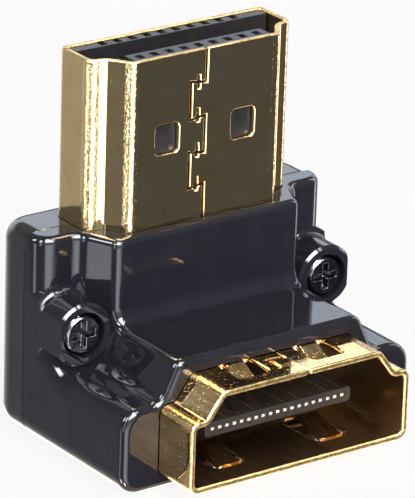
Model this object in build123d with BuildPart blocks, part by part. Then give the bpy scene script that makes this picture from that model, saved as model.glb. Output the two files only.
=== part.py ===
from build123d import *
import os

# Right angle display adapter: plug pointing up, socket facing the front
# +X right, +Y back, +Z up, millimetres
# Origin in the middle of the underside of the box round the whole adapter

# Plug shell, wide side at the back
plug_half_wide = 6.95
plug_ledge = 1.02
plug_slant = 0.93
plug_half_notch = plug_half_wide - plug_ledge
plug_half_narrow = plug_half_notch - plug_slant
plug_shoulder = 2.9
plug_ledge_rise = 0.28
plug_height = 4.45
plug_rounds = (0.35, 0.6, 0.45, 0.45)
plug_sheet = 0.3
plug_reach = 10.1
plug_seat_depth = 2.6
plug_from_parting = 1.4

# Socket shell, wide side down
socket_half_wide = 7.55
socket_ledge = 1.0
socket_slant = 1.1
socket_half_notch = socket_half_wide - socket_ledge
socket_half_narrow = socket_half_notch - socket_slant
socket_shoulder = 4.3
socket_height = 5.8
socket_rounds = (0.6, 0.6, 0.35, 0.6)
socket_sheet = 0.35
socket_bottom_z = 0.77
socket_reach = 3.05

# Housing, two mouldings that meet on a flat parting plane
overall_depth = 16.15
housing_height = 12.4
cover_depth = 3.15
crown_wall = 0.85
crown_slope = 1.1
ear_width = 2.6
arm_wall = 0.83
upright_wall = 0.75
step = 2.3
bend_radius = 1.0
shoulder_round = 1.3
notch_round = 1.0
crown_round = 0.7
low_edge_round = 1.3
top_edge_round = 0.45
front_edge_round = 0.5
back_edge_round = 1.8
cover_top_round = 1.0
edge_break = 0.06
crown_half = socket_half_narrow + crown_wall
notch_half = crown_half + crown_slope
side_x = notch_half + ear_width
upright_depth = plug_height - plug_from_parting + upright_wall
arm_height = socket_bottom_z + socket_height + arm_wall
back_y = overall_depth / 2
mouth_y = -overall_depth / 2
arm_y = mouth_y + socket_reach
parting_y = back_y - cover_depth
upright_y = parting_y - upright_depth
bend_y = upright_y - bend_radius
bend_z = arm_height + bend_radius

# Fits between shells, plastic, board and housing
shell_clearance = 0.05
insert_clearance = 0.05
shank_clearance = 0.1
thread_clearance = 0.03
board_clearance = 0.1

# Screws and the bosses round them
boss_r = 1.9
boss_inset = 1.55
boss_drop = 1.15
boss_flare = 0.4
boss_break = 0.15
counterbore_r = 1.38
counterbore_depth = 1.0
head_r = 1.2
head_depth = 0.92
head_break = 0.18
shank_r = 0.75
shank_length = 4.8
pilot_tip = 0.2
recess_length = 1.6
recess_width = 0.4
recess_depth = 0.5
screw_x = side_x - boss_inset
screw_z = bend_z - boss_drop
seat_y = upright_y + counterbore_depth
screw_end_y = seat_y + shank_length

# Heights and depths of the plug
plug_back_y = parting_y + plug_from_parting
plug_front_y = plug_back_y - plug_height
plug_tip_z = housing_height + plug_reach
plug_root_z = housing_height - plug_seat_depth
wing_length = 0.85
wing_rise = 0.4
wing_height = 1.2
wing_half = plug_half_wide + wing_length
wing_low_z = plug_root_z + wing_rise
wing_top_z = wing_low_z + wing_height

# Contacts, pins 1 to 19 from left to right, odd pins in the row of ten
pin_count = 19
middle_pin = 10
pin_pitch = 0.5
strip = 0.2
plug_contact_width = 0.35
socket_strip = 0.25
socket_contact_width = 0.3

# Plug insulator, depths measured from the wide face of the shell
root_drop = 0.4
block_height = 2.2
plate_recess = 0.08
mouth_strip = 0.85
wide_plate_front = 1.03
wide_plate_half = plug_half_wide - plug_sheet - 0.1
narrow_plate = (2.98, 4.1)
narrow_plate_half = plug_half_narrow - plug_sheet - 0.05
wide_slot = (0.34, 0.91)
narrow_slot = (3.25, 3.82)
slot_width = 0.45
spring_lift = 0.2
spring_foot = 1.4
spring_peak = 3.0
spring_tip = 0.2
insulator_root_z = plug_root_z - root_drop
insulator_block_z = insulator_root_z + block_height
insulator_top_z = plug_tip_z - plate_recess
cavity_top_z = insulator_top_z - mouth_strip

# Circuit board, upright behind the socket and under the plug
board_thickness = 1.0
board_back_y = parting_y - 0.325
board_front_y = board_back_y - board_thickness
board_half = plug_half_wide - plug_sheet - 0.15
board_low_z = 1.2
board_top_z = insulator_root_z - 0.2
tail_height = 1.2
tail_bend = 0.6
tail_through = 0.3
hole_clearance = 0.1
leg_width = 0.4
leg_x = (pin_count - 1) * pin_pitch / 2 + plug_contact_width / 2 + 0.07 + leg_width / 2

# Hollow between the mouldings and what holds the board in it
hollow_gap = 0.7
hollow_side = 0.4
hollow_under = 0.25
hollow_over = 0.3
tail_side = 0.7
tail_pocket = 0.6
rib_x = 6.0
rib_width = 0.8
rib_height = 1.3
pad_x = 5.7
pad_size = 1.2
pad_inset = 0.75
core_inset = 1.3
core_width = 0.9
core_front = 1.5
core_height = 2.8
hollow_front_y = board_front_y - hollow_gap
rib_top_z = board_top_z - 1.0

# Socket insulator, with a block at the rear and the tongue
tongue_drop = 0.37
tongue_thickness = 0.85
tongue_recess = 2.2
tongue_side = 0.55
tongue_round = 0.2
hook_length = 0.4
block_depth = 3.0
tongue_z = socket_bottom_z + socket_height / 2 - tongue_drop
tongue_y = mouth_y + tongue_recess
tongue_half = (pin_count - 1) * pin_pitch / 2 + tongue_side
block_rear_y = hollow_front_y - board_clearance
block_front_y = block_rear_y - block_depth
socket_rear_y = block_rear_y - board_clearance
socket_top_z = socket_bottom_z + socket_height

# Seams, windows and springs of both shells
seam_gap = 0.12
seam_side = -1.03
seam_flare = 0.15
seam_steps = (2.0, 3.97, 6.05, 8.07)
stake_width = 0.16
stake_length = 0.85
window_round = 0.3
latch_window = (1.6, 1.78)
latch_window_x = 2.6
latch_window_drop = 4.92
socket_seam_x = 0.2
socket_seam_lean = 0.25
socket_tab_width = 0.95
socket_tab_front = 1.33
socket_tab_back = 2.25
top_spring_x = 2.55
top_window = (2.1, 2.3)
top_window_from_mouth = 2.15
bottom_spring_x = 3.55
bottom_window = (2.3, 3.5)
bottom_window_from_mouth = 3.4
top_spring_width = 1.3
bottom_spring_width = 1.5
spring_sheet = 0.28
spring_root = 0.1
spring_bend = (0.6, 0.45)
spring_knees = (0.2, 0.7, 0.87)

os.makedirs("parts", exist_ok=True)


def plan(y, z):
    """Plane seen from below: local y runs to the front and an extrusion goes down."""
    return Plane((0, y, z), x_dir=(1, 0, 0), z_dir=(0, 0, -1))


def elevation(y, z):
    """Plane seen from the front: local y runs up and an extrusion comes to the front."""
    return Plane((0, y, z), x_dir=(1, 0, 0), z_dir=(0, -1, 0))


def pin_x(pin):
    """Distance of a pin from the middle, the same in plug and socket."""
    return (pin - middle_pin) * pin_pitch


def stepped_outline(wide, shoulder, notch, ledge, narrow, height, rounds, mode=Mode.ADD):
    """Fills the open sketch with the stepped outline, wide side on the local x axis."""
    right = [(wide, 0), (wide, shoulder), (notch, ledge), (narrow, height)]
    left = [(-x, y) for x, y in reversed(right)]
    with BuildLine() as outline:
        FilletPolyline(*right, *left, radius=[*rounds, *reversed(rounds)], close=True)
    make_face(outline.line.edges(), mode=mode)


def upright_outline(mode=Mode.ADD):
    """Outline of the upright of the housing, wide side on the parting plane."""
    stepped_outline(
        side_x,
        upright_depth - step,
        notch_half,
        upright_depth - step,
        crown_half,
        upright_depth,
        (0, shoulder_round, notch_round, crown_round),
        mode,
    )


def arm_outline():
    """Outline of the arm of the housing, wide side down."""
    stepped_outline(
        side_x,
        arm_height - step,
        notch_half,
        arm_height - step,
        crown_half,
        arm_height,
        (low_edge_round, shoulder_round, notch_round, crown_round),
    )


def plug_outline(grow=0.0):
    """Outer outline of the plug shell, grown all round by the given distance."""
    stepped_outline(
        plug_half_wide,
        plug_shoulder,
        plug_half_notch,
        plug_shoulder + plug_ledge_rise,
        plug_half_narrow,
        plug_height,
        plug_rounds,
    )
    if grow:
        offset(amount=grow)


def socket_outline(grow=0.0):
    """Outer outline of the socket shell, grown all round by the given distance."""
    stepped_outline(
        socket_half_wide,
        socket_shoulder,
        socket_half_notch,
        socket_shoulder,
        socket_half_narrow,
        socket_height,
        socket_rounds,
    )
    if grow:
        offset(amount=grow)


def box_between(low, high, mode=Mode.ADD):
    """Adds or removes a straight box between two corners of the open part."""
    size = [b - a for a, b in zip(low, high)]
    middle = [(a + b) / 2 for a, b in zip(low, high)]
    with Locations(tuple(middle)):
        Box(*size, mode=mode)


def save(piece, name):
    """Labels a finished piece and writes it out under its own name."""
    piece.part.label = name
    export_step(piece.part, f"parts/{name}.step")


# Front shell: upright and arm share one stepped outline, carried round a tight inner bend
with BuildPart() as front_shell:
    # Upright, outline seen from above
    with BuildSketch(plan(parting_y, housing_height)):
        upright_outline()
    extrude(amount=housing_height - bend_z)
    # Arm, outline seen from the front
    with BuildSketch(elevation(bend_y, 0)):
        arm_outline()
    extrude(amount=bend_y - arm_y)
    # Corner behind and under the bend
    with BuildSketch(elevation(parting_y, 0)):
        with BuildLine():
            FilletPolyline(
                (side_x, 0),
                (side_x, bend_z),
                (-side_x, bend_z),
                (-side_x, 0),
                radius=[low_edge_round, 0, 0, low_edge_round],
                close=True,
            )
        make_face()
    extrude(amount=parting_y - bend_y)
    # Bend, the air in front of the upright turned a quarter round onto the top of the arm
    with BuildSketch(plan(parting_y, bend_z)):
        with Locations((0, (parting_y - bend_y) / 2)):
            Rectangle(2 * side_x + 1, parting_y - bend_y)
        upright_outline(Mode.SUBTRACT)
    revolve(
        axis=Axis((0, bend_y, bend_z), (-1, 0, 0)), revolution_arc=90, mode=Mode.SUBTRACT
    )
    # Rounded rims of the end of the arm and the top of the upright
    arm_end = front_shell.faces().sort_by(Axis.Y)[0]
    fillet(arm_end.edges(), radius=front_edge_round)
    upright_top = front_shell.faces().sort_by(Axis.Z)[-1]
    rim = upright_top.edges().filter_by(lambda edge: edge.center().Y < parting_y - 0.01)
    fillet(rim, radius=top_edge_round)
    # Half of the groove along the parting line
    parting_face = front_shell.faces().sort_by(Axis.Y)[-1]
    chamfer(parting_face.edges(), length=edge_break)
    # Screw bosses, flared into the ears and cut off flush with the sides
    boss_foot = boss_r + boss_flare + 0.02
    ear_front = upright_depth - step - edge_break
    boss_front = upright_depth - edge_break
    for side in (-1, 1):
        boss_origin = (side * screw_x, parting_y - edge_break, screw_z)
        with BuildSketch(Plane(boss_origin, x_dir=(1, 0, 0), z_dir=(0, 0, -1))):
            with BuildLine():
                FilletPolyline(
                    (0, 0),
                    (boss_foot, 0),
                    (boss_foot, ear_front),
                    (boss_r, ear_front),
                    (boss_r, boss_front - boss_break),
                    (boss_r - boss_break, boss_front),
                    (0, boss_front),
                    radius=[0, 0, 0, boss_flare, 0, 0, 0],
                    close=True,
                )
            make_face()
        revolve(axis=Axis(boss_origin, (0, 1, 0)))
    for side in (-1, 1):
        near, far = sorted((side * side_x, side * (side_x + 2 * boss_r)))
        box_between((near, arm_y, 0), (far, parting_y, housing_height), Mode.SUBTRACT)
    # Counterbores and clearance holes
    for side in (-1, 1):
        with Locations(Plane((side * screw_x, upright_y, screw_z), z_dir=(0, -1, 0))):
            CounterBoreHole(
                radius=shank_r + shank_clearance,
                counter_bore_radius=counterbore_r,
                counter_bore_depth=counterbore_depth,
                depth=upright_depth + 1,
            )
    # Tunnels for plug and socket, hollow for the board
    with BuildSketch(plan(plug_back_y, housing_height)):
        plug_outline(shell_clearance)
    extrude(amount=housing_height - bend_z, mode=Mode.SUBTRACT)
    with BuildSketch(elevation(hollow_front_y, socket_bottom_z)):
        socket_outline(shell_clearance)
    extrude(amount=hollow_front_y - arm_y, mode=Mode.SUBTRACT)
    box_between(
        (-board_half - hollow_side, hollow_front_y, board_low_z - hollow_under),
        (board_half + hollow_side, parting_y, board_top_z + hollow_over),
        Mode.SUBTRACT,
    )
    for side in (-1, 1):
        # Ribs that stop the board from the front
        box_between(
            (side * rib_x - rib_width / 2, hollow_front_y - rib_width, rib_top_z - rib_height),
            (side * rib_x + rib_width / 2, board_front_y, rib_top_z),
        )
        # Thick walls beside the socket, cored out from the parting plane
        core_x = side * (side_x - core_inset)
        box_between(
            (core_x - core_width / 2, arm_y + core_front, core_inset),
            (core_x + core_width / 2, parting_y, core_inset + core_height),
            Mode.SUBTRACT,
        )
save(front_shell, "front_shell")

# Back cover: a flat moulding with well rounded back edges
with BuildPart() as back_cover:
    with BuildSketch(elevation(back_y, 0)):
        Rectangle(2 * side_x, housing_height, align=(Align.CENTER, Align.MIN))
    extrude(amount=cover_depth)
    fillet(back_cover.edges().filter_by(Axis.Z).group_by(Axis.Y)[-1], radius=back_edge_round)
    for end, radius in ((-1, cover_top_round), (0, low_edge_round)):
        rim = back_cover.faces().sort_by(Axis.Z)[end].edges()
        fillet(rim.filter_by(lambda edge: edge.center().Y > parting_y + 0.01), radius=radius)
    chamfer(back_cover.faces().sort_by(Axis.Y)[0].edges(), length=edge_break)
    # Back half of the plug tunnel, and room for the tails of both rows of contacts
    with BuildSketch(plan(plug_back_y, housing_height)):
        plug_outline(shell_clearance)
    extrude(amount=housing_height - board_top_z, mode=Mode.SUBTRACT)
    tail_half = (pin_count - 1) * pin_pitch / 2 + tail_side
    box_between(
        (-tail_half, parting_y, board_top_z - tail_bend - 2 * tail_height),
        (tail_half, plug_back_y - wide_slot[0], board_top_z + hollow_over),
        Mode.SUBTRACT,
    )
    box_between(
        (-tail_half, parting_y, tongue_z - 2 * tail_side),
        (tail_half, parting_y + tail_pocket, tongue_z + 2 * tail_side),
        Mode.SUBTRACT,
    )
    for side in (-1, 1):
        # Pocket for the wing of the plug shell
        near, far = sorted((side * (plug_half_wide - plug_sheet), side * (wing_half + shell_clearance)))
        box_between(
            (near, parting_y, wing_low_z - shell_clearance),
            (far, parting_y + plug_sheet + shell_clearance, wing_top_z + shell_clearance),
            Mode.SUBTRACT,
        )
        # Pilot hole that the screw cuts its thread in
        with Locations(Plane((side * screw_x, parting_y, screw_z), z_dir=(0, -1, 0))):
            Hole(radius=shank_r + thread_clearance, depth=screw_end_y + pilot_tip - parting_y)
        # Pads behind the board
        for pad_z in (board_low_z + pad_inset, board_top_z - 2 * pad_inset):
            with Locations(Plane((side * pad_x, parting_y, pad_z), z_dir=(0, -1, 0))):
                Box(
                    pad_size,
                    pad_size,
                    parting_y - board_back_y,
                    align=(Align.CENTER, Align.CENTER, Align.MIN),
                )
save(back_cover, "back_cover")

# Screws: flat heads with a broken edge and a cross recess
for name, side in (("screw_left", -1), ("screw_right", 1)):
    with BuildPart() as screw:
        with BuildSketch(elevation(seat_y, screw_z)):
            with Locations((side * screw_x, 0)):
                Circle(head_r)
        extrude(amount=head_depth)
        chamfer(screw.edges().sort_by(Axis.Y)[0], length=head_break)
        with BuildSketch(elevation(seat_y - head_depth, screw_z)):
            with Locations((side * screw_x, 0)):
                Rectangle(recess_length, recess_width)
                Rectangle(recess_width, recess_length)
        extrude(amount=-recess_depth, mode=Mode.SUBTRACT)
        with BuildSketch(elevation(seat_y, screw_z)):
            with Locations((side * screw_x, 0)):
                Circle(shank_r)
        extrude(amount=-shank_length)
    save(screw, name)

# Plug shell: sheet folded round the outline, joined by a dovetail seam on the narrow face
with BuildPart() as plug_shell:
    with BuildSketch(plan(plug_back_y, plug_tip_z)):
        plug_outline()
    extrude(amount=plug_tip_z - plug_root_z)
    with BuildSketch(plan(plug_back_y, plug_tip_z)):
        plug_outline(-plug_sheet)
    extrude(amount=plug_tip_z - plug_root_z, mode=Mode.SUBTRACT)
    # Latch windows, two in each wide face
    with BuildSketch(elevation(plug_back_y, plug_tip_z - latch_window_drop)):
        with Locations((-latch_window_x, 0), (latch_window_x, 0)):
            RectangleRounded(*latch_window, window_round)
    extrude(amount=plug_height, mode=Mode.SUBTRACT)
    # Dovetail seam, a fine zigzag gap through the narrow face
    with BuildSketch(elevation(plug_front_y + plug_sheet, plug_tip_z)):
        with BuildLine():
            Polyline(
                (0, seam_gap),
                (0, -seam_steps[0]),
                (seam_side, seam_flare - seam_steps[0]),
                (seam_side, -seam_flare - seam_steps[1]),
                (0, -seam_steps[1]),
                (0, -seam_flare - seam_steps[2]),
                (seam_side, -seam_steps[2]),
                (seam_side, -seam_flare - seam_steps[3]),
                (0, -seam_steps[3]),
                (0, plug_root_z - plug_tip_z - seam_gap),
            )
        trace(line_width=seam_gap)
        # Stake marks that lock the dovetails, one across each step of the seam
        for depth in seam_steps:
            with Locations((seam_side / 2, seam_flare / 2 - depth)):
                Rectangle(stake_width, stake_length)
    extrude(amount=plug_sheet, mode=Mode.SUBTRACT)
    # Wings held in pockets of the back cover
    for side in (-1, 1):
        near, far = sorted((side * (plug_half_wide - plug_sheet), side * wing_half))
        box_between((near, parting_y, wing_low_z), (far, parting_y + plug_sheet, wing_top_z))
save(plug_shell, "plug_shell")

# Plug insulator: a root block that fills the shell, and two plates with a slot for each pin
odd_pins = range(1, pin_count + 1, 2)
even_pins = range(2, pin_count + 1, 2)
with BuildPart() as plug_insulator:
    with BuildSketch(plan(plug_back_y, insulator_block_z)):
        plug_outline(-plug_sheet - insert_clearance)
    extrude(amount=insulator_block_z - insulator_root_z)
    box_between(
        (-wide_plate_half, plug_back_y - wide_plate_front, insulator_root_z),
        (wide_plate_half, plug_back_y - plug_sheet - insert_clearance, insulator_top_z),
    )
    box_between(
        (-narrow_plate_half, plug_back_y - narrow_plate[1], insulator_root_z),
        (narrow_plate_half, plug_back_y - narrow_plate[0], insulator_top_z),
    )
    # A slot for each pin, open to the cavity below the strip at the mouth
    for pins, slot, cavity_depth in (
        (odd_pins, wide_slot, wide_plate_front),
        (even_pins, narrow_slot, narrow_plate[0]),
    ):
        slot_y = sorted(plug_back_y - depth for depth in slot)
        open_y = sorted((plug_back_y - sum(slot) / 2, plug_back_y - cavity_depth))
        for pin in pins:
            low_x = pin_x(pin) - slot_width / 2
            high_x = pin_x(pin) + slot_width / 2
            box_between(
                (low_x, slot_y[0], insulator_root_z),
                (high_x, slot_y[1], insulator_top_z),
                Mode.SUBTRACT,
            )
            box_between(
                (low_x, open_y[0], insulator_block_z),
                (high_x, open_y[1], cavity_top_z),
                Mode.SUBTRACT,
            )
save(plug_insulator, "plug_insulator")

# Plug contacts: strip springs bowed into the cavity, tails flat on the faces of the board
tail_top_z = board_top_z - tail_bend
for pin in range(1, pin_count + 1):
    if pin % 2:
        tail_y = board_back_y + strip / 2
        slot_middle_y = plug_back_y - sum(wide_slot) / 2
        lifted_y = plug_back_y - wide_plate_front - spring_lift + strip / 2
    else:
        tail_y = board_front_y - strip / 2
        slot_middle_y = plug_back_y - sum(narrow_slot) / 2
        lifted_y = plug_back_y - narrow_plate[0] + spring_lift - strip / 2
    with BuildPart() as plug_contact:
        with BuildSketch(Plane.YZ.offset(pin_x(pin))):
            with BuildLine():
                Polyline(
                    (tail_y, tail_top_z - tail_height),
                    (tail_y, tail_top_z),
                    (slot_middle_y, board_top_z),
                    (slot_middle_y, insulator_block_z + spring_foot),
                    (lifted_y, plug_tip_z - spring_peak),
                    (slot_middle_y, cavity_top_z - spring_tip),
                )
            trace(line_width=strip)
        extrude(amount=plug_contact_width / 2, both=True)
    save(plug_contact, f"plug_contact_{pin:02d}")

# Socket shell: folded sheet with a seam and two springs above, two springs below
with BuildPart() as socket_shell:
    with BuildSketch(elevation(socket_rear_y, socket_bottom_z)):
        socket_outline()
        socket_skin = offset(amount=-socket_sheet, mode=Mode.PRIVATE)
        add(socket_skin, mode=Mode.SUBTRACT)
    extrude(amount=socket_rear_y - mouth_y)
    # Windows round the springs, cut through the sheet above and below
    top_window_y = mouth_y + top_window_from_mouth
    with BuildSketch(Plane.XY.offset(socket_top_z - 2 * socket_sheet)):
        with Locations((-top_spring_x, top_window_y), (top_spring_x, top_window_y)):
            RectangleRounded(*top_window, window_round)
        # Seam with one dovetail
        with BuildLine():
            tab_x = socket_seam_x - socket_tab_width
            Polyline(
                (socket_seam_x + socket_seam_lean, mouth_y - seam_gap),
                (socket_seam_x, mouth_y + socket_tab_front),
                (tab_x, mouth_y + socket_tab_front - seam_flare),
                (tab_x, mouth_y + socket_tab_back + seam_flare),
                (socket_seam_x, mouth_y + socket_tab_back),
                (socket_seam_x, socket_rear_y + seam_gap),
            )
        trace(line_width=seam_gap)
    extrude(amount=3 * socket_sheet, mode=Mode.SUBTRACT)
    bottom_window_y = mouth_y + bottom_window_from_mouth
    with BuildSketch(Plane.XY.offset(socket_bottom_z - socket_sheet)):
        with Locations((-bottom_spring_x, bottom_window_y), (bottom_spring_x, bottom_window_y)):
            RectangleRounded(*bottom_window, 2 * window_round)
    extrude(amount=3 * socket_sheet, mode=Mode.SUBTRACT)
    # Springs bent into the socket, above rooted at the rear of the window, below at its front
    skin = socket_sheet / 2
    for spring_x, window_y, length, width, base_z, inward, toward in (
        (top_spring_x, top_window_y, top_window[1], top_spring_width, socket_top_z - skin, -1, -1),
        (
            bottom_spring_x,
            bottom_window_y,
            bottom_window[1],
            bottom_spring_width,
            socket_bottom_z + skin,
            1,
            1,
        ),
    ):
        root_y = window_y - toward * (length / 2 + spring_root)
        knee_y = [root_y + toward * share * length for share in spring_knees]
        for side in (-1, 1):
            with BuildSketch(Plane.YZ.offset(side * spring_x)):
                with BuildLine():
                    Polyline(
                        (root_y, base_z),
                        (knee_y[0], base_z),
                        (knee_y[1], base_z + inward * spring_bend[0]),
                        (knee_y[2], base_z + inward * spring_bend[1]),
                    )
                trace(line_width=spring_sheet)
            extrude(amount=width / 2, both=True)
    # Legs that pass through the board
    for side in (-1, 1):
        box_between(
            (side * leg_x - leg_width / 2, socket_rear_y, socket_top_z - socket_sheet),
            (side * leg_x + leg_width / 2, board_back_y + tail_through, socket_top_z),
        )
save(socket_shell, "socket_shell")

# Socket contacts: alternating over and under the tongue, ends hooked to its middle
tongue_skin = (tongue_thickness - socket_strip) / 2
socket_contacts = []
for pin in range(1, pin_count + 1):
    flat_z = tongue_z + tongue_skin if pin % 2 else tongue_z - tongue_skin
    with BuildPart() as socket_contact:
        with BuildSketch(Plane.YZ.offset(pin_x(pin))):
            with BuildLine():
                Polyline(
                    (tongue_y, tongue_z),
                    (tongue_y + hook_length, tongue_z),
                    (tongue_y + hook_length, flat_z),
                    (board_back_y + tail_through, flat_z),
                )
            trace(line_width=socket_strip)
        extrude(amount=socket_contact_width / 2, both=True)
    save(socket_contact, f"socket_contact_{pin:02d}")
    socket_contacts.append(socket_contact.part)

# Socket insulator: a block that fills the shell and the tongue moulded round the contacts
with BuildPart() as socket_insulator:
    with BuildSketch(elevation(block_rear_y, socket_bottom_z)):
        socket_outline(-socket_sheet - insert_clearance)
    extrude(amount=block_rear_y - block_front_y)
    with BuildSketch(elevation(block_front_y, tongue_z)):
        RectangleRounded(2 * tongue_half, tongue_thickness, tongue_round)
    extrude(amount=block_front_y - tongue_y)
    for contact in socket_contacts:
        add(contact, mode=Mode.SUBTRACT)
save(socket_insulator, "socket_insulator")

# Circuit board, with a hole for each socket tail and a slot for each leg
with BuildPart() as circuit_board:
    with BuildSketch(elevation(board_back_y, 0)):
        with Locations((0, (board_low_z + board_top_z) / 2)):
            Rectangle(2 * board_half, board_top_z - board_low_z)
        for pin in range(1, pin_count + 1):
            flat_z = tongue_z + tongue_skin if pin % 2 else tongue_z - tongue_skin
            with Locations((pin_x(pin), flat_z)):
                Rectangle(
                    socket_contact_width + hole_clearance,
                    socket_strip + hole_clearance,
                    mode=Mode.SUBTRACT,
                )
        with Locations((-leg_x, socket_top_z - skin), (leg_x, socket_top_z - skin)):
            Rectangle(
                leg_width + hole_clearance, socket_sheet + hole_clearance, mode=Mode.SUBTRACT
            )
    extrude(amount=board_back_y - board_front_y)
save(circuit_board, "circuit_board")
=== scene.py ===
# %% [markdown]
# # Right angle display adapter
# A small adapter: a gold plug points up, a gold socket faces the front, and a glossy black housing
# in two mouldings joins them, held by two cross-head screws.
# The CAD model is exact, so it stays as it is. The work here is what the light does on it:
# a studio, soft broken edges and the surface of every material.

import math

import bmesh
import bpy
from mathutils import Matrix, Vector


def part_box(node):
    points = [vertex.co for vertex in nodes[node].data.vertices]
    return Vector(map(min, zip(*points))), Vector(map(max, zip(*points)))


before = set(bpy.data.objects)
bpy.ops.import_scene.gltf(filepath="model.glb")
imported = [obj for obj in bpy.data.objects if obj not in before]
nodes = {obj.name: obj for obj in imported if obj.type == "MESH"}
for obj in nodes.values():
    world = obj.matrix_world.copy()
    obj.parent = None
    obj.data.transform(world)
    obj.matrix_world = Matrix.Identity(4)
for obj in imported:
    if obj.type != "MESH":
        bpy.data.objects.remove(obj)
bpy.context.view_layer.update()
MM = 0.001
print("pieces in the model:", len(nodes))


def put_in_scene(name, data):
    """Makes an object of a camera, lamp or mesh and puts it in the scene."""
    thing = bpy.data.objects.new(name, data)
    bpy.context.scene.collection.objects.link(thing)
    return thing


# %% [markdown]
# ## Camera
# The object is 23 mm high and was seen from the front left, a little above. The lens is very long,
# because the upright edges hardly lean towards each other. A camera could be aimed with a constraint,
# but the picture also leans by 2 degrees, so its three directions are worked out from the angles.

# %% Camera from its angles
SENSOR_WIDTH = 36.0
LENS = 390.4
NEAREST = 0.01
AZIMUTH, ELEVATION, LEAN = (math.radians(a) for a in (36.396, 21.631, 1.899))
TARGET = Vector((-2.837, -2.557, 12.553)) * MM
DISTANCE = 249.234 * MM

to_camera = Vector((
    -math.sin(AZIMUTH) * math.cos(ELEVATION),
    -math.cos(AZIMUTH) * math.cos(ELEVATION),
    math.sin(ELEVATION),
))
level_right = Vector((math.cos(AZIMUTH), -math.sin(AZIMUTH), 0.0))
level_up = to_camera.cross(level_right)
lean_right = math.cos(LEAN) * level_right + math.sin(LEAN) * level_up
lean_up = to_camera.cross(lean_right)

camera = put_in_scene("camera", bpy.data.cameras.new("camera"))
camera.data.lens = LENS
camera.data.sensor_width = SENSOR_WIDTH
camera.data.sensor_fit = "HORIZONTAL"
camera.data.clip_start = NEAREST
turn = Matrix((lean_right, lean_up, to_camera)).transposed().to_4x4()
camera.matrix_world = Matrix.Translation(TARGET + DISTANCE * to_camera) @ turn
bpy.context.scene.camera = camera
bpy.context.scene.view_settings.view_transform = "Standard"
print("camera stands at", tuple(round(c, 4) for c in camera.location))

# %% [markdown]
# ## Small tools for materials
# Every finish is a tree of nodes that ends in one shader. The trees could be drawn by hand in the
# editor, but a few short functions keep them alike, and each number is changed in one place.

# %% Make and join nodes
def new_finish(name, colour, metallic, roughness, ior=1.5):
    """Makes a material and returns it with its node tree and its shader."""
    material = bpy.data.materials.new(name)
    material.use_nodes = True
    tree = material.node_tree
    shader = tree.nodes["Principled BSDF"]
    shader.inputs["Base Color"].default_value = (*colour, 1.0)
    shader.inputs["Metallic"].default_value = metallic
    shader.inputs["Roughness"].default_value = roughness
    shader.inputs["IOR"].default_value = ior
    return material, tree, shader


def add_node(tree, kind, **properties):
    """Adds a node and sets its properties."""
    node = tree.nodes.new(kind)
    for key, value in properties.items():
        setattr(node, key, value)
    return node


def join(tree, source, target):
    """Links an output socket to an input socket."""
    tree.links.new(source, target)


def bare_tree(owner, output_kind):
    """Clears the nodes of a material or a world and returns its tree and its output node."""
    owner.use_nodes = True
    tree = owner.node_tree
    tree.nodes.clear()
    return tree, add_node(tree, output_kind)


# %% Numbers and colours
def remap(tree, value, span, to=(0.0, 1.0)):
    """Stretches a value from its own span to another range and holds it there."""
    node = add_node(tree, "ShaderNodeMapRange")
    for key, number in zip(("From Min", "From Max", "To Min", "To Max"), (*span, *to)):
        node.inputs[key].default_value = number
    join(tree, value, node.inputs["Value"])
    return node.outputs["Result"]


def calculate(tree, operation, *terms):
    """Math on one or two values, each a socket or a number."""
    node = add_node(tree, "ShaderNodeMath", operation=operation)
    for slot, term in enumerate(terms):
        if isinstance(term, (int, float)):
            node.inputs[slot].default_value = term
        else:
            join(tree, term, node.inputs[slot])
    return node.outputs["Value"]


def length_of(tree, first, second):
    """How far a point is from the middle, from its two distances."""
    squares = [calculate(tree, "MULTIPLY", side, side) for side in (first, second)]
    return calculate(tree, "SQRT", calculate(tree, "ADD", *squares))


def blend_colours(tree, mask, colour_a, colour_b):
    """Mixes two colours, each a socket or three numbers, by a mask from 0 to 1."""
    node = add_node(tree, "ShaderNodeMix", data_type="RGBA")
    join(tree, mask, node.inputs["Factor"])
    # The node has sockets for every data type: 6 and 7 are its two colours, 2 is the mixed one
    for slot, colour in ((6, colour_a), (7, colour_b)):
        if isinstance(colour, tuple):
            node.inputs[slot].default_value = (*colour, 1.0)
        else:
            join(tree, colour, node.inputs[slot])
    return node.outputs[2]


def object_place(tree):
    """Where a point lies on its object, as separate X, Y and Z outputs in metres."""
    place = add_node(tree, "ShaderNodeTexCoord")
    parts = add_node(tree, "ShaderNodeSeparateXYZ")
    join(tree, place.outputs["Object"], parts.inputs["Vector"])
    return parts.outputs


def seen_plainly(tree):
    """One for the camera, for mirrors and through glass, zero for the light that falls on things."""
    seen = add_node(tree, "ShaderNodeLightPath")
    shown = calculate(tree, "MAXIMUM", seen.outputs["Is Camera Ray"], seen.outputs["Is Glossy Ray"])
    return calculate(tree, "MAXIMUM", shown, seen.outputs["Is Transmission Ray"])


# %% [markdown]
# Two things come back in all the finishes: noise in millimetres, which breaks up colour, roughness and
# relief, and a mask of the edges, where handling polishes plastic and thins plating. The mask could
# come from painted corners, but comparing the true normal with a rounded one needs no painting.

# %% Noise, edges and relief
NOISE_ROUGHNESS = 0.55
BEVEL_SAMPLES = 6
FLAT_MATCH, EDGE_MATCH = 0.999, 0.90


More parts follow.
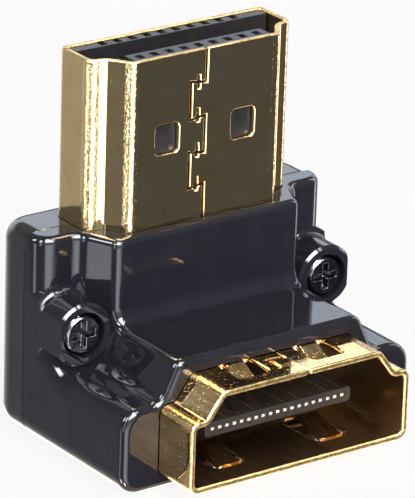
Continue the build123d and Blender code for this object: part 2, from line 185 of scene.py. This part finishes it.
def grain(tree, size_mm, stretch=(1, 1, 1), detail=3.0):
    """Noise with features of the given size in millimetres, returned as a value from 0 to 1."""
    place = add_node(tree, "ShaderNodeTexCoord")
    scale = add_node(tree, "ShaderNodeMapping")
    for axis in range(3):
        scale.inputs["Scale"].default_value[axis] = 1.0 / (size_mm * MM * stretch[axis])
    noise = add_node(tree, "ShaderNodeTexNoise")
    noise.inputs["Scale"].default_value = 1.0
    noise.inputs["Detail"].default_value = detail
    noise.inputs["Roughness"].default_value = NOISE_ROUGHNESS
    join(tree, place.outputs["Object"], scale.inputs["Vector"])
    join(tree, scale.outputs["Vector"], noise.inputs["Vector"])
    return noise.outputs["Fac"]


def rounded_normal(tree, radius_mm):
    """The normal as it would be if every edge had this radius."""
    rounded = add_node(tree, "ShaderNodeBevel", samples=BEVEL_SAMPLES)
    rounded.inputs["Radius"].default_value = radius_mm * MM
    return rounded.outputs["Normal"]


def edge_mask(tree, radius_mm):
    """One on edges within the radius, zero on the open faces."""
    true = add_node(tree, "ShaderNodeNewGeometry")
    match = add_node(tree, "ShaderNodeVectorMath", operation="DOT_PRODUCT")
    join(tree, rounded_normal(tree, radius_mm), match.inputs[0])
    join(tree, true.outputs["Normal"], match.inputs[1])
    return remap(tree, match.outputs["Value"], span=(FLAT_MATCH, EDGE_MATCH))


def relief(tree, shader, height, depth_mm, soften_mm=0.0):
    """Turns a value into relief of the given depth, over edges softened by the given radius."""
    bump = add_node(tree, "ShaderNodeBump")
    bump.inputs["Strength"].default_value = 1.0
    bump.inputs["Distance"].default_value = depth_mm * MM
    join(tree, height, bump.inputs["Height"])
    if soften_mm:
        join(tree, rounded_normal(tree, soften_mm), bump.inputs["Normal"])
    join(tree, bump.outputs["Normal"], shader.inputs["Normal"])


# %% Dress CAD pieces
def dress(material, names):
    """Gives a material to the CAD nodes with these names."""
    for name in names:
        for slot in nodes[name].material_slots:
            slot.link = "DATA"
            slot.material = material
    print(material.name, "on", len(names), "piece(s)")


def middle_of(name):
    """The middle of a node's box, in metres."""
    low_corner, high_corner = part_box(name)
    return (low_corner + high_corner) / 2


# %% [markdown]
# ## Floor
# The adapter stands on a plain white table. A plane would do for the picture, but it gets a gentle
# rise at its far end, as paper swept up behind a product has. Its material is white paper: partly lit,
# so that it keeps the shadow, and partly plain white for the camera, for mirrors and for glass.

# %% Shape of the sweep
CURL_STEPS = 12


def smooth_object(name, mesh):
    """Makes a smooth-shaded object of a finished mesh."""
    data = bpy.data.meshes.new(name)
    mesh.to_mesh(data)
    mesh.free()
    for face in data.polygons:
        face.use_smooth = True
    return put_in_scene(name, data)


def build_sweep(name, half_width, front, rise_start, rise):
    """A sheet of paper that lies flat and curls up behind the object."""
    profile = [(front, 0.0), (rise_start, 0.0)]
    for step in range(1, CURL_STEPS + 1):
        angle = math.radians(90) * step / CURL_STEPS
        profile.append((rise_start + rise * math.sin(angle), rise * (1 - math.cos(angle))))
    profile.append((rise_start + rise, 3 * rise))
    mesh = bmesh.new()
    rows = [[mesh.verts.new((x, y, z)) for y, z in profile] for x in (-half_width, half_width)]
    for left, right, left_next, right_next in zip(rows[0], rows[1], rows[0][1:], rows[1][1:]):
        mesh.faces.new((left, right, right_next, left_next))
    return smooth_object(name, mesh)


sweep = build_sweep("paper_sweep", half_width=2.0, front=-2.0, rise_start=1.2, rise=0.6)
print("sweep", tuple(round(size, 2) for size in sweep.dimensions), "m")

# %% White paper
PAPER_COLOUR = (0.9, 0.9, 0.9, 1.0)
PLAIN_WHITE = (1.0, 1.0, 1.0, 1.0)
PLAIN_SHARE = 0.88

paper = bpy.data.materials.new("white_paper")
tree, surface = bare_tree(paper, "ShaderNodeOutputMaterial")
lit = add_node(tree, "ShaderNodeBsdfDiffuse")
lit.inputs["Color"].default_value = PAPER_COLOUR
plain = add_node(tree, "ShaderNodeEmission")
plain.inputs["Color"].default_value = PLAIN_WHITE
mixed = add_node(tree, "ShaderNodeMixShader")
join(tree, calculate(tree, "MULTIPLY", seen_plainly(tree), PLAIN_SHARE), mixed.inputs["Fac"])
join(tree, lit.outputs["BSDF"], mixed.inputs[1])
join(tree, plain.outputs["Emission"], mixed.inputs[2])
join(tree, mixed.outputs["Shader"], surface.inputs["Surface"])
sweep.data.materials.append(paper)
sweep.visible_glossy = False
print(paper.name, "shows", PLAIN_SHARE, "of plain white")

# %% [markdown]
# ## Light tent
# Polished gold and glossy black plastic have hardly any colour of their own: they show what stands
# round them. A photographer wraps such an object in a tent with dark cards and a few bright strips,
# and each strip becomes a thin line along every rounded edge. Separate cards would do the same, but
# one tent with its pattern in nodes is easier to tune. Only mirrors see it, and it casts no shadow.
# It reaches under the object too: mirrors see its glow from below in place of the paper.

# %% Tent shape
TENT_RADIUS = 0.6
tent_mesh = bmesh.new()
bmesh.ops.create_icosphere(tent_mesh, subdivisions=5, radius=TENT_RADIUS)
tent = smooth_object("light_tent", tent_mesh)
tent.visible_camera = False
tent.visible_diffuse = False
tent.visible_shadow = False
print("tent of", round(2 * TENT_RADIUS, 2), "m")

# %% Where a point lies on the tent
tent_paint = bpy.data.materials.new("tent_cloth")
tree, surface = bare_tree(tent_paint, "ShaderNodeOutputMaterial")
place = object_place(tree)
leftward = calculate(tree, "MULTIPLY", place["X"], -1.0)
forward = calculate(tree, "MULTIPLY", place["Y"], -1.0)
# Angles in radians: round from the front towards the left, and up from the level
round_angle = calculate(tree, "ARCTAN2", leftward, forward)
rise_angle = calculate(tree, "ARCSINE", calculate(tree, "DIVIDE", place["Z"], TENT_RADIUS))
turn_share = remap(tree, round_angle, span=(-math.pi, math.pi))

# %% [markdown]
# The tent has two rings, below and above the level. What an upright edge mirrors lies on the low ring,
# and what the tops mirror lies on the high one. Each ring could be an image, but a colour ramp says
# the same in a few stops: degrees round from the front towards the left, and the brightness there.

# %% Two rings of the tent
LOW_RING = (
    (-180, 1.0), (-165, 0.9), (-152, 0.30), (-134, 0.26), (-98, 0.16), (-60, 0.09), (-30, 0.07),
    (-16, 0.10), (-7, 1.7), (6, 4.6), (22, 6.0), (34, 5.0), (43, 0.35), (60, 0.14), (81, 0.20),
    (91, 5.4), (100, 0.34), (112, 0.34), (128, 0.44), (145, 0.38), (160, 0.6), (180, 1.0),
)
HIGH_RING = (
    (-180, 2.2), (-150, 2.4), (-135, 2.3), (-115, 1.6), (-90, 0.5), (-45, 0.15), (-20, 0.2), (-8, 1.8),
    (28, 2.2), (42, 0.4), (75, 0.3), (100, 0.35), (125, 0.40), (152, 0.5), (168, 2.0), (180, 2.6),
)
COOL = (0.88, 0.97, 1.10)
FAINTLY_COOL = (0.97, 1.0, 1.07)
PEAK = 6.0
RING_OVERLAP = math.radians(8)


def ring(stops, tint):
    """A ring of the tent as a colour ramp, brightness scaled to the peak."""
    node = add_node(tree, "ShaderNodeValToRGB")
    ramp = node.color_ramp
    while len(ramp.elements) < len(stops):
        ramp.elements.new(0.5)
    for element, (degrees, bright) in zip(ramp.elements, stops):
        element.position = (degrees + 180) / 360
        element.color = tuple(bright * c / PEAK for c in tint) + (1.0,)
    join(tree, turn_share, node.inputs["Fac"])
    return node.outputs["Color"]


height_share = remap(tree, rise_angle, span=(-RING_OVERLAP, RING_OVERLAP))
pattern = blend_colours(tree, height_share, ring(LOW_RING, FAINTLY_COOL), ring(HIGH_RING, COOL))
print("rings with", len(LOW_RING) + len(HIGH_RING), "stops")

# %% Cards and strips on the tent
# Each has its angles round, its heights, the softness of its ends in degrees, and its colour
CARDS = (
    ((-181, 181), (27, 95), 2, (0.26, 0.28, 0.32)),  # dark roof
    ((-181, 181), (-95, -42), 6, (1.45, 1.25, 1.02)),  # glow of the table from below
    ((-160, -128), (-12, 13), 3, (0.34, 0.35, 0.38)),  # dark card for the rounds behind the ears
    ((-178, -130), (-48, -27), 3, (4.8, 4.2, 3.4)),  # warm strip low at the back
    ((-50, -14), (-40, 12), 5, (0.078, 0.088, 0.112)),  # dark card that the flat fronts mirror
    ((-99, -84), (-40, 10), 2, (3.4, 3.4, 3.5)),  # line along the right upright edges
    ((56, 66), (-10, 34), 2, (6.0, 6.0, 6.3)),  # short strip at the left
    ((-102, -90), (12, 48), 2, (6.0, 6.0, 6.3)),  # short strip at the right
    ((-12, 42), (36, 84), 3, (34.0, 34.5, 36.0)),  # large lamp overhead
)
# Small lamps that only corners and round bosses can mirror, because no straight edge faces them
SMALL_LAMPS = (
    ((60, 74), (36, 58)), ((-38, -22), (56, 74)), ((100, 116), (32, 50)), ((30, 50), (-64, -50)),
    ((76, 90), (-54, -38)),
)
SMALL_LAMP_SOFT = 2
SMALL_LAMP_COLOUR = (30.0, 30.4, 31.5)


def between(value, start, end, soft):
    """One between two angles in degrees, with soft ends."""
    edges = [math.radians(a) for a in (start - soft, start + soft, end - soft, end + soft)]
    rising = remap(tree, value, span=edges[:2])
    falling = remap(tree, value, span=edges[2:], to=(1.0, 0.0))
    return calculate(tree, "MULTIPLY", rising, falling)


def card(angles, heights, soft, bright, under):
    """A card on the tent between two angles and two heights, over what is there."""
    across, upward = between(round_angle, *angles, soft), between(rise_angle, *heights, soft)
    mask = calculate(tree, "MULTIPLY", across, upward)
    return blend_colours(tree, mask, under, tuple(c / PEAK for c in bright))


for angles, heights, soft, bright in CARDS:
    pattern = card(angles, heights, soft, bright, pattern)
for angles, heights in SMALL_LAMPS:
    pattern = card(angles, heights, SMALL_LAMP_SOFT, SMALL_LAMP_COLOUR, pattern)

glow = add_node(tree, "ShaderNodeEmission")
glow.inputs["Strength"].default_value = PEAK
join(tree, pattern, glow.inputs["Color"])
join(tree, glow.outputs["Emission"], surface.inputs["Surface"])
tent.data.materials.append(tent_paint)
print("tent pattern with", len(CARDS), "cards and", len(SMALL_LAMPS), "small lamps")

# %% [markdown]
# ## Lamps
# Matt plastic, the board and the paper need real light. One large soft lamp stands high at the front
# left, a weaker one fills from the right, a small one lights the front from low down, and the white
# room does the rest. The lamps don't show in mirrors: the tent does that. Their strength is plain, so
# that a colour comes out about as written.

# %% Soft lamps
LAMP_AIM = Vector((0, 0, 0.01))


def soft_lamp(name, place, watts, size):
    """A square lamp that faces the object."""
    data = bpy.data.lights.new(name, "AREA")
    data.energy = watts
    data.size = size
    lamp = put_in_scene(name, data)
    lamp.location = place
    facing = LAMP_AIM - Vector(place)
    lamp.rotation_euler = facing.to_track_quat("-Z", "Y").to_euler()
    lamp.visible_glossy = False
    print(name, "of", watts, "W")


soft_lamp("key_lamp", (-0.15, -0.6, 0.5), watts=3.0, size=0.45)
soft_lamp("fill_lamp", (0.6, -0.3, 0.35), watts=0.9, size=0.5)
soft_lamp("low_lamp", (-0.25, -0.75, 0.12), watts=1.0, size=0.25)

# %% White room
ROOM_LIGHT, ROOM_SEEN = 0.45, 1.0

world = bpy.data.worlds.new("white_room")
bpy.context.scene.world = world
tree, surface = bare_tree(world, "ShaderNodeOutputWorld")
room = add_node(tree, "ShaderNodeBackground")
room.inputs["Color"].default_value = PLAIN_WHITE
strength = remap(tree, seen_plainly(tree), span=(0.0, 1.0), to=(ROOM_LIGHT, ROOM_SEEN))
join(tree, strength, room.inputs["Strength"])
join(tree, room.outputs["Background"], surface.inputs["Surface"])
print(world.name, "lights at", ROOM_LIGHT)

# %% [markdown]
# ## Glossy black housing
# The two mouldings are polished black plastic with a trace of blue. Real mouldings aren't perfect
# mirrors: the surface waves a little, fine dust and hairlines scatter light, and edges are rubbed.
# A single dark colour would look like a hole in the picture, so each of these is a layer of its own.

# %% Black plastic
PLASTIC_IOR = 1.42
RUBBED_BLACK = (0.045, 0.045, 0.052)


def black_plastic(name, colour, wave_depth):
    """Moulded plastic with slow waves, hairlines, dust and rubbed edges."""
    material, tree, shader = new_finish(name, colour, metallic=0.0, roughness=0.05, ior=PLASTIC_IOR)
    clouds = remap(tree, grain(tree, size_mm=2.5), span=(0.35, 0.7))
    darker, paler = (tuple(factor * c for c in colour) for factor in (0.88, 1.12))
    tinted = blend_colours(tree, clouds, darker, paler)
    rubbed = calculate(tree, "MULTIPLY", edge_mask(tree, radius_mm=0.12), 0.3)
    join(tree, blend_colours(tree, rubbed, tinted, RUBBED_BLACK), shader.inputs["Base Color"])
    hairlines = grain(tree, size_mm=0.10, stretch=(1.0, 14.0, 14.0), detail=2.0)
    hairlines = remap(tree, hairlines, span=(0.66, 0.76), to=(0.0, 0.06))
    smudges = remap(tree, grain(tree, size_mm=1.4, detail=5.0), span=(0.5, 0.8), to=(0.025, 0.08))
    join(tree, calculate(tree, "ADD", smudges, hairlines), shader.inputs["Roughness"])
    waves = grain(tree, size_mm=3.4, detail=1.0)
    pits = calculate(tree, "MULTIPLY", grain(tree, size_mm=0.10, detail=2.0), 0.05)
    relief(tree, shader, calculate(tree, "ADD", waves, pits), depth_mm=wave_depth)
    return material


front_plastic = black_plastic("black_plastic_front", (0.0215, 0.0215, 0.030), wave_depth=0.014)
back_plastic = black_plastic("black_plastic_back", (0.040, 0.036, 0.038), wave_depth=0.012)
dress(front_plastic, ["front_shell"])
dress(back_plastic, ["back_cover"])

# %% [markdown]
# ## Broken edges of the stamped shells
# A press leaves a small roll on every cut edge, and plating rounds it further. That roll is what
# catches the light round a mouth or a window. Bevelled normals would do from afar, but a rim is seen
# close up, so the edges get a real bevel. It is a modifier: the CAD mesh under it stays as it is.

# %% Rolled edges
JOIN_WITHIN = 0.0004 * MM
FLAT_WITHIN = math.radians(0.6)
SHARP_FROM = math.radians(38)


def roll_edges(name, width_mm, segments=3):
    """Joins the facets of a CAD piece, merges flat ones, and bevels every sharp edge."""
    piece = nodes[name]
    weld = piece.modifiers.new("join_facets", "WELD")
    weld.merge_threshold = JOIN_WITHIN
    flat = piece.modifiers.new("merge_flats", "DECIMATE")
    flat.decimate_type = "DISSOLVE"
    flat.angle_limit = FLAT_WITHIN
    bevel = piece.modifiers.new("rolled_edge", "BEVEL")
    bevel.width = width_mm * MM
    bevel.segments = segments
    bevel.limit_method = "ANGLE"
    bevel.angle_limit = SHARP_FROM
    bevel.use_clamp_overlap = False
    shade = piece.modifiers.new("even_shading", "WEIGHTED_NORMAL")
    shade.keep_sharp = False


for name, width in (("plug_shell", 0.09), ("socket_shell", 0.13)):
    roll_edges(name, width)
    print(name, "edges rolled by", width, "mm")

# %% [markdown]
# ## Gold plating
# Both shells are stamped from sheet and plated. The flat faces are nearly mirrors with long faint
# drawing lines, while the outer folds are stretched in the press and come out grained, so they
# glitter. A mask from the normal would also catch the flat slants, so the mask is the distance to
# the line along each fold, which is known from the shell's own shape.

# %% Masks on a shell
FOLD_RADIUS = 0.5 * MM
RIM_START, RIM_END = 0.03 * MM, 0.12 * MM


def fold_mask(tree, depth_axis, lines):
    """One near any fold line, given as half width and depth in millimetres, left and right alike."""
    place = object_place(tree)
    side = calculate(tree, "ABSOLUTE", place["X"])
    total = None
    for half_width, depth in lines:
        across = calculate(tree, "SUBTRACT", side, half_width * MM)
        inward = calculate(tree, "SUBTRACT", place[depth_axis], depth * MM)
        away = length_of(tree, across, inward)
        near = remap(tree, away, span=(0.6 * FOLD_RADIUS, FOLD_RADIUS), to=(1.0, 0.0))
        total = near if total is None else calculate(tree, "MAXIMUM", total, near)
    return total


def inside_mask(tree, centre, section):
    """One where the surface faces the middle of its shell, which tells the inside from the outside."""
    geometry = add_node(tree, "ShaderNodeNewGeometry")
    shift = add_node(tree, "ShaderNodeVectorMath", operation="SUBTRACT")
    join(tree, geometry.outputs["Position"], shift.inputs[0])
    shift.inputs[1].default_value = centre
    flatten = add_node(tree, "ShaderNodeVectorMath", operation="MULTIPLY")
    flatten.inputs[1].default_value = section
    join(tree, shift.outputs["Vector"], flatten.inputs[0])
    match = add_node(tree, "ShaderNodeVectorMath", operation="DOT_PRODUCT")
    join(tree, flatten.outputs["Vector"], match.inputs[0])
    join(tree, geometry.outputs["True Normal"], match.inputs[1])
    return remap(tree, match.outputs["Value"], span=(-0.1 * MM, 0.0), to=(1.0, 0.0))


def rim_mask(tree, axis, edge, inward):
    """One on the cut rim of a mouth, at the edge given in metres, zero a tenth of a millimetre in."""
    place = object_place(tree)
    fade = (edge + inward * RIM_START, edge + inward * RIM_END)
    return remap(tree, place[axis], span=fade, to=(1.0, 0.0))


# %% Layers of the plating
PALE_LINES = (0.80, 0.68, 0.42)
EDGE_GOLD = (0.98, 0.84, 0.52)
SHADED_INSIDE_GOLD = (0.76, 0.55, 0.32)
RIM_GOLD = (0.95, 0.66, 0.28)
TORN_GOLD = tuple(0.55 * c for c in RIM_GOLD)


def plated_colour(tree, gold, deep_gold, along, inside, cut):
    """Mottled gold with pale drawing lines, bright on edges, torn on the cut rim, and darker and
    browner inside as painted shade.
    """
    tone = remap(tree, grain(tree, size_mm=1.8, detail=4.0), span=(0.35, 0.7))
    plated = blend_colours(tree, tone, deep_gold, gold)
    streaks = grain(tree, size_mm=0.35, stretch=along)
    streaks = remap(tree, streaks, span=(0.45, 0.72), to=(0.0, 0.55))
    plated = blend_colours(tree, streaks, plated, PALE_LINES)
    bright = calculate(tree, "MULTIPLY", edge_mask(tree, radius_mm=0.06), 0.4)
    plated = blend_colours(tree, bright, plated, EDGE_GOLD)
    # Painted shade: faces inside the shell get a darker, browner gold.
    plated = blend_colours(tree, inside, plated, SHADED_INSIDE_GOLD)
    torn = remap(tree, grain(tree, size_mm=0.2, detail=4.0), span=(0.42, 0.62))
    return blend_colours(tree, cut, plated, blend_colours(tree, torn, TORN_GOLD, RIM_GOLD))


def plated_roughness(tree, along, folds, inside, cut):
    """Nearly a mirror, a little rougher on folds and inside, satin on the cut rim."""
    lines = grain(tree, size_mm=0.06, stretch=along, detail=2.0)
    rough = remap(tree, lines, span=(0.3, 0.8), to=(0.03, 0.09))
    coarse = remap(tree, grain(tree, size_mm=0.12, detail=4.0), span=(0.35, 0.7), to=(0.0, 0.08))
    for mask, extra in ((coarse, folds), (inside, 0.12), (cut, 0.28)):
        rough = calculate(tree, "ADD", rough, calculate(tree, "MULTIPLY", mask, extra))
    return rough


def plated_height(tree, folds, outside, specks):
    """Slow ripple of the sheet, glitter on the folds, and specks of dust under the plating."""
    ripple = calculate(tree, "MULTIPLY", grain(tree, size_mm=2.4, detail=2.0), 0.35)
    glitter = calculate(tree, "MULTIPLY", grain(tree, size_mm=0.14, detail=2.0), folds)
    height = calculate(tree, "ADD", ripple, calculate(tree, "MULTIPLY", glitter, 1.8))
    dots = remap(tree, grain(tree, size_mm=0.13, detail=3.0), span=(0.62, 0.72), to=(0.0, specks))
    return calculate(tree, "ADD", height, calculate(tree, "MULTIPLY", dots, outside))


# %% Gold on both shells
LINE_STRETCH = 30


def gold_plating(name, shell, length_axis, mouth, gold, deep_gold, folds_at, specks):
    """Plated sheet drawn along the length of its shell, with a mouth at the edge that is given."""
    material, tree, shader = new_finish(name, gold, metallic=1.0, roughness=0.1)
    along = tuple(LINE_STRETCH if axis == length_axis else 1 for axis in "XYZ")
    section = tuple(0 if axis == length_axis else 1 for axis in "XYZ")
    depth_axis = "Y" if length_axis == "Z" else "Z"
    inside = inside_mask(tree, middle_of(shell), section)
    outside = calculate(tree, "SUBTRACT", 1.0, inside)
    folds = calculate(tree, "MULTIPLY", fold_mask(tree, depth_axis, folds_at), outside)
    cut = rim_mask(tree, length_axis, *mouth)
    colour = plated_colour(tree, gold, deep_gold, along, inside, cut)
    join(tree, colour, shader.inputs["Base Color"])
    join(tree, plated_roughness(tree, along, folds, inside, cut), shader.inputs["Roughness"])
    relief(tree, shader, plated_height(tree, folds, outside, specks), depth_mm=0.018)
    dress(material, [shell])


# Folds as half width and depth (plug) or height (socket), millimetres, a little inside the corner.
# A mouth is where its edge lies and which way leads in.
gold_plating(
    "plug_gold", "plug_shell", "Z", mouth=(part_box("plug_shell")[1].z, -1),
    gold=(0.95, 0.71, 0.36), deep_gold=(0.88, 0.62, 0.27),
    folds_at=((6.75, 3.55), (4.85, 2.05), (6.75, 6.2)), specks=0.08,
)
# The socket's gold is darker than the plug's: painted shade, for the dim table close below that it
# mirrors.
gold_plating(
    "socket_gold", "socket_shell", "Y", mouth=(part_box("socket_shell")[0].y, 1),
    gold=(0.84, 0.54, 0.21), deep_gold=(0.52, 0.31, 0.11),
    folds_at=((7.4, 4.95), (5.35, 6.4), (7.4, 0.95)), specks=0.4,
)

# %% [markdown]
# ## Screws
# The screws are black oxide on steel: darker and harder than the plastic, with turning rings on the
# head from the lathe and bright rubbed rims where a driver has slipped. Rings could be modelled, but
# they are a few thousandths of a millimetre deep, which is relief work for the shader.

# %% Black screws
RING_PITCH = 0.09 * MM
OXIDE_DARK, OXIDE_PALE, BARE_STEEL = (0.10, 0.10, 0.11), (0.17, 0.17, 0.185), (0.42, 0.42, 0.44)


def turning_rings(tree, centre):
    """Fine rings round the axis of a screw that lies along Y."""
    place = add_node(tree, "ShaderNodeTexCoord")
    shift = add_node(tree, "ShaderNodeMapping")
    shift.inputs["Location"].default_value = tuple(-c for c in centre)
    parts = add_node(tree, "ShaderNodeSeparateXYZ")
    join(tree, place.outputs["Object"], shift.inputs["Vector"])
    join(tree, shift.outputs["Vector"], parts.inputs["Vector"])
    radius = length_of(tree, parts.outputs["X"], parts.outputs["Z"])
    return calculate(tree, "SINE", calculate(tree, "MULTIPLY", radius, 2 * math.pi / RING_PITCH))


def turned_black(name, centre):
    """Black metal with fine rings, patches of bare steel on its edges, and a mottled surface."""
    material, tree, shader = new_finish(name, OXIDE_DARK, metallic=1.0, roughness=0.15)
    patches = remap(tree, grain(tree, size_mm=0.3), span=(0.4, 0.6), to=(0.2, 0.9))
    worn = calculate(tree, "MULTIPLY", edge_mask(tree, radius_mm=0.09), patches)
    mottle = remap(tree, grain(tree, size_mm=0.5), span=(0.3, 0.7))
    oxide = blend_colours(tree, mottle, OXIDE_DARK, OXIDE_PALE)
    join(tree, blend_colours(tree, worn, oxide, BARE_STEEL), shader.inputs["Base Color"])
    rough = remap(tree, grain(tree, size_mm=0.2, detail=4.0), span=(0.3, 0.7), to=(0.08, 0.24))
    join(tree, rough, shader.inputs["Roughness"])
    rings = calculate(tree, "MULTIPLY", turning_rings(tree, centre), 0.05)
    height = calculate(tree, "ADD", rings, grain(tree, size_mm=0.35))
    relief(tree, shader, height, depth_mm=0.04, soften_mm=0.08)
    return material


for name in ("screw_left", "screw_right"):
    middle = middle_of(name)
    dress(turned_black(name + "_black_oxide", (middle.x, 0.0, middle.z)), [name])

# %% [markdown]
# ## Plastic inside the shells
# The insulators are glass-filled plastic: matt, nearly black and slightly mottled, the tongue of the
# socket a shade browner. A flat dark colour would lose the slots, so fibres and clouds break it up,
# and the edges are painted a little paler as a highlight.

# %% Insulator plastics
def filled_plastic(name, dark, pale, roughness):
    """Matt plastic with short glass fibres just under the surface."""
    material, tree, shader = new_finish(name, pale, metallic=0.0, roughness=roughness)
    fibres = grain(tree, size_mm=0.05, stretch=(1.0, 5.0, 2.0), detail=2.0)
    fibres = remap(tree, fibres, span=(0.45, 0.75))
    clouds = grain(tree, size_mm=0.8, detail=4.0)
    mottled = calculate(tree, "ADD", calculate(tree, "MULTIPLY", fibres, 0.45), clouds)
    base = blend_colours(tree, remap(tree, mottled, span=(0.35, 1.0)), dark, pale)
    # Painted highlight: every edge is paler than the plastic round it.
    edge_highlight = tuple(1.5 * c for c in pale)
    edges = calculate(tree, "MULTIPLY", edge_mask(tree, radius_mm=0.06), 0.6)
    join(tree, blend_colours(tree, edges, base, edge_highlight), shader.inputs["Base Color"])
    rough = remap(tree, fibres, span=(0.0, 1.0), to=(roughness, roughness + 0.15))
    join(tree, rough, shader.inputs["Roughness"])
    relief(tree, shader, mottled, depth_mm=0.006, soften_mm=0.04)
    return material


plug_plastic = filled_plastic(
    "plug_insulator_plastic", dark=(0.011, 0.010, 0.012), pale=(0.021, 0.019, 0.021), roughness=0.38)
socket_plastic = filled_plastic(
    "socket_insulator_plastic", dark=(0.013, 0.011, 0.011), pale=(0.023, 0.020, 0.019), roughness=0.42)
dress(plug_plastic, ["plug_insulator"])
dress(socket_plastic, ["socket_insulator"])

# %% [markdown]
# ## Contacts
# The plug's contacts are flashed with gold over nickel, and the ends of the socket's contacts are tin,
# sheared from strip; their outward faces are painted pale as lit, the rest dark as shade. All contacts
# of a row come off one strip, so
# one material each is right, and its noise falls differently on every contact. The socket's ends are
# seen square on, so they get rolled edges as the shells do.

# %% Contact metals
END_METALLIC = 0.35


def faces_front(tree):
    """One on faces that look out of the socket, zero on the rest."""
    true = add_node(tree, "ShaderNodeNewGeometry")
    parts = add_node(tree, "ShaderNodeSeparateXYZ")
    join(tree, true.outputs["Normal"], parts.inputs["Vector"])
    return remap(tree, calculate(tree, "MULTIPLY", parts.outputs["Y"], -1.0), span=(0.75, 0.97))


def strip_metal(name, colour, worn_colour, roughness, lit_end_colour=None):
    """Thin strip, rolled and sheared, with plating worn in patches, and ends painted pale as lit if
    asked for.
    """
    material, tree, shader = new_finish(name, colour, metallic=1.0, roughness=roughness)
    patches = remap(tree, grain(tree, size_mm=0.35, detail=4.0), span=(0.5, 0.65), to=(0.0, 0.8))
    body = blend_colours(tree, patches, colour, worn_colour)
    if lit_end_colour:
        # Painted highlight: faces that point out of the socket take the pale colour.
        front = faces_front(tree)
        body = blend_colours(tree, front, body, lit_end_colour)
        metallic = remap(tree, front, span=(0.0, 1.0), to=(1.0, END_METALLIC))
        join(tree, metallic, shader.inputs["Metallic"])
    join(tree, body, shader.inputs["Base Color"])
    rolled = grain(tree, size_mm=0.03, stretch=(1, 12, 12), detail=2.0)
    rough = remap(tree, rolled, span=(0.3, 0.7), to=(roughness, roughness + 0.15))
    join(tree, rough, shader.inputs["Roughness"])
    relief(tree, shader, rolled, depth_mm=0.002, soften_mm=0.03)
    return material


plug_metal = strip_metal("plug_contact_gold", (0.92, 0.72, 0.36), (0.75, 0.70, 0.58), 0.18)
# Painted shade: the dark body colour of the socket's contacts stands for the shade inside the socket.
socket_metal = strip_metal("socket_contact_tin", (0.26, 0.22, 0.16), (0.16, 0.13, 0.10), 0.3,
                           lit_end_colour=(0.97, 0.97, 0.96))
plug_contacts = sorted(n for n in nodes if n.startswith("plug_contact"))
socket_contacts = sorted(n for n in nodes if n.startswith("socket_contact"))
for name in socket_contacts:
    roll_edges(name, 0.085, segments=2)
dress(plug_metal, plug_contacts)
dress(socket_metal, socket_contacts)

# %% [markdown]
# ## Circuit board
# The board is hidden between the mouldings. It still gets a true finish, because the model can be
# opened: green mask over woven glass, with the weave just visible. A woven pattern could be an image,
# but two crossed waves are enough for it.

# %% Board laminate
WEAVE_SCALE = 0.35 / MM  # about one thread to the millimetre
DARK_GREEN, PALE_GREEN = (0.012, 0.085, 0.035), (0.03, 0.15, 0.065)


def laminate(name):
    """Green solder mask over a woven glass sheet."""
    material, tree, shader = new_finish(name, DARK_GREEN, metallic=0.0, roughness=0.35)
    place = add_node(tree, "ShaderNodeTexCoord")
    threads = []
    for direction in ("X", "Z"):
        wave = add_node(tree, "ShaderNodeTexWave", bands_direction=direction)
        wave.inputs["Scale"].default_value = WEAVE_SCALE
        wave.inputs["Distortion"].default_value = 0.4
        join(tree, place.outputs["Object"], wave.inputs["Vector"])
        threads.append(wave.outputs["Fac"])
    weave = calculate(tree, "MAXIMUM", *threads)
    green = blend_colours(tree, weave, DARK_GREEN, PALE_GREEN)
    join(tree, green, shader.inputs["Base Color"])
    rough = remap(tree, grain(tree, size_mm=0.6), span=(0.3, 0.7), to=(0.28, 0.45))
    join(tree, rough, shader.inputs["Roughness"])
    relief(tree, shader, weave, depth_mm=0.01)
    return material


dress(laminate("board_laminate"), ["circuit_board"])
